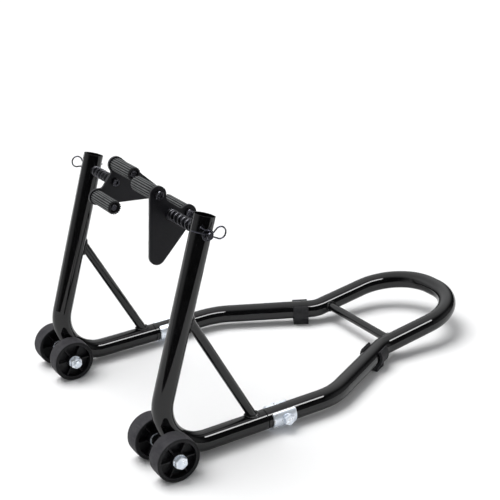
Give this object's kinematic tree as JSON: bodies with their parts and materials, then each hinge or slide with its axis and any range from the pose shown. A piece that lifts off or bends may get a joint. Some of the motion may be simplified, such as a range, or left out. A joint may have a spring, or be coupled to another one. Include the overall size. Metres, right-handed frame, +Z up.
{
  "type": "motorcycle front paddock stand",
  "caption": "Front paddock stand of bent steel tube with sprung swinging roller plates on two posts, four wheels and a looped foot handle.",
  "frame": {"origin": "on the floor, at the bottom centre of the stand's bounding box", "axes": "+X runs from the wheels towards the handle loop, +Y is the stand's left side, +Z is up"},
  "size_m": [0.7674, 0.5374, 0.4256],
  "materials": {
    "black_paint": "gloss",
    "black_plastic": "satin",
    "clip_wire": "gloss",
    "dark_steel": "satin",
    "hard_rubber": "matte",
    "plate_paint": "satin",
    "soft_rubber": "matte",
    "spring_steel": "satin",
    "zinc": "satin"
  },
  "bodies": {
    "frame": {"left_side_tube": "black_paint", "right_side_tube": "black_paint", "left_strut": "black_paint", "right_strut": "black_paint", "left_strut_welds": "black_paint", "right_strut_welds": "black_paint", "left_spigot": "dark_steel", "right_spigot": "dark_steel", "handle_tube": "black_paint", "cross_bar": "black_paint", "cross_bar_welds": "black_paint", "left_saddle": "zinc", "right_saddle": "zinc", "coupling_bolts": "zinc", "coupling_washers": "zinc", "coupling_nuts": "zinc", "left_foot_clip": "soft_rubber", "right_foot_clip": "soft_rubber", "left_axle_sleeve": "black_paint", "right_axle_sleeve": "black_paint", "left_sleeve_welds": "black_paint", "right_sleeve_welds": "black_paint", "axle_bolts": "zinc", "axle_nuts": "zinc", "axle_washers": "zinc", "left_pin_sleeve": "black_paint", "right_pin_sleeve": "black_paint"},
    "left_outer_wheel": {"left_outer_wheel_core": "black_plastic", "left_outer_wheel_tread": "hard_rubber"},
    "left_inner_wheel": {"left_inner_wheel_core": "black_plastic", "left_inner_wheel_tread": "hard_rubber"},
    "left_pin_unit": {"left_spring_pin": "dark_steel", "left_r_clip": "clip_wire", "left_clip_washer": "dark_steel", "left_spring_washer": "dark_steel", "left_spring": "spring_steel"},
    "left_cradle": {"left_swing_plate": "plate_paint", "left_roller_bolts": "dark_steel", "left_roller_nuts": "dark_steel"},
    "left_first_roller": {"left_first_roller_core": "black_plastic", "left_first_roller_grip": "soft_rubber"},
    "left_second_roller": {"left_second_roller_core": "black_plastic", "left_second_roller_grip": "soft_rubber"},
    "right_outer_wheel": {"right_outer_wheel_core": "black_plastic", "right_outer_wheel_tread": "hard_rubber"},
    "right_inner_wheel": {"right_inner_wheel_core": "black_plastic", "right_inner_wheel_tread": "hard_rubber"},
    "right_pin_unit": {"right_spring_pin": "dark_steel", "right_r_clip": "clip_wire", "right_clip_washer": "dark_steel", "right_spring_washer": "dark_steel", "right_spring": "spring_steel"},
    "right_cradle": {"right_swing_plate": "plate_paint", "right_roller_bolts": "dark_steel", "right_roller_nuts": "dark_steel"},
    "right_first_roller": {"right_first_roller_core": "black_plastic", "right_first_roller_grip": "soft_rubber"},
    "right_second_roller": {"right_second_roller_core": "black_plastic", "right_second_roller_grip": "soft_rubber"}
  },
  "joints": [
    {"name": "left_outer_wheel_spin", "type": "hinge", "parent": "frame", "child": "left_outer_wheel", "pos_m": [-0.34645, 0, 0.0373], "axis": [0, 1, 0], "continuous": true},
    {"name": "left_inner_wheel_spin", "type": "hinge", "parent": "frame", "child": "left_inner_wheel", "pos_m": [-0.34645, 0, 0.0373], "axis": [0, 1, 0], "continuous": true},
    {"name": "left_pin_slide", "type": "slide", "parent": "frame", "child": "left_pin_unit", "axis": [0, 1, 0], "range_m": [0, 0.04], "stiffness_N_per_m": 900, "springref_m": -0.01, "deforming": ["left_spring"]},
    {"name": "left_cradle_swing", "type": "hinge", "parent": "left_pin_unit", "child": "left_cradle", "pos_m": [-0.25859, 0, 0.3759], "axis": [0, -1, 0], "continuous": true},
    {"name": "left_first_roller_spin", "type": "hinge", "parent": "left_cradle", "child": "left_first_roller", "pos_m": [-0.29409, 0, 0.35591], "axis": [0, 1, 0], "continuous": true},
    {"name": "left_second_roller_spin", "type": "hinge", "parent": "left_cradle", "child": "left_second_roller", "pos_m": [-0.25399, 0, 0.40641], "axis": [0, 1, 0], "continuous": true},
    {"name": "right_outer_wheel_spin", "type": "hinge", "parent": "frame", "child": "right_outer_wheel", "pos_m": [-0.34645, 0, 0.0373], "axis": [0, 1, 0], "continuous": true},
    {"name": "right_inner_wheel_spin", "type": "hinge", "parent": "frame", "child": "right_inner_wheel", "pos_m": [-0.34645, 0, 0.0373], "axis": [0, 1, 0], "continuous": true},
    {"name": "right_pin_slide", "type": "slide", "parent": "frame", "child": "right_pin_unit", "axis": [0, -1, 0], "range_m": [0, 0.04], "stiffness_N_per_m": 900, "springref_m": -0.01, "deforming": ["right_spring"]},
    {"name": "right_cradle_swing", "type": "hinge", "parent": "right_pin_unit", "child": "right_cradle", "pos_m": [-0.25859, 0, 0.3759], "axis": [0, -1, 0], "continuous": true},
    {"name": "right_first_roller_spin", "type": "hinge", "parent": "right_cradle", "child": "right_first_roller", "pos_m": [-0.27859, 0, 0.41141], "axis": [0, 1, 0], "continuous": true},
    {"name": "right_second_roller_spin", "type": "hinge", "parent": "right_cradle", "child": "right_second_roller", "pos_m": [-0.22809, 0, 0.3713], "axis": [0, 1, 0], "continuous": true}
  ]
}
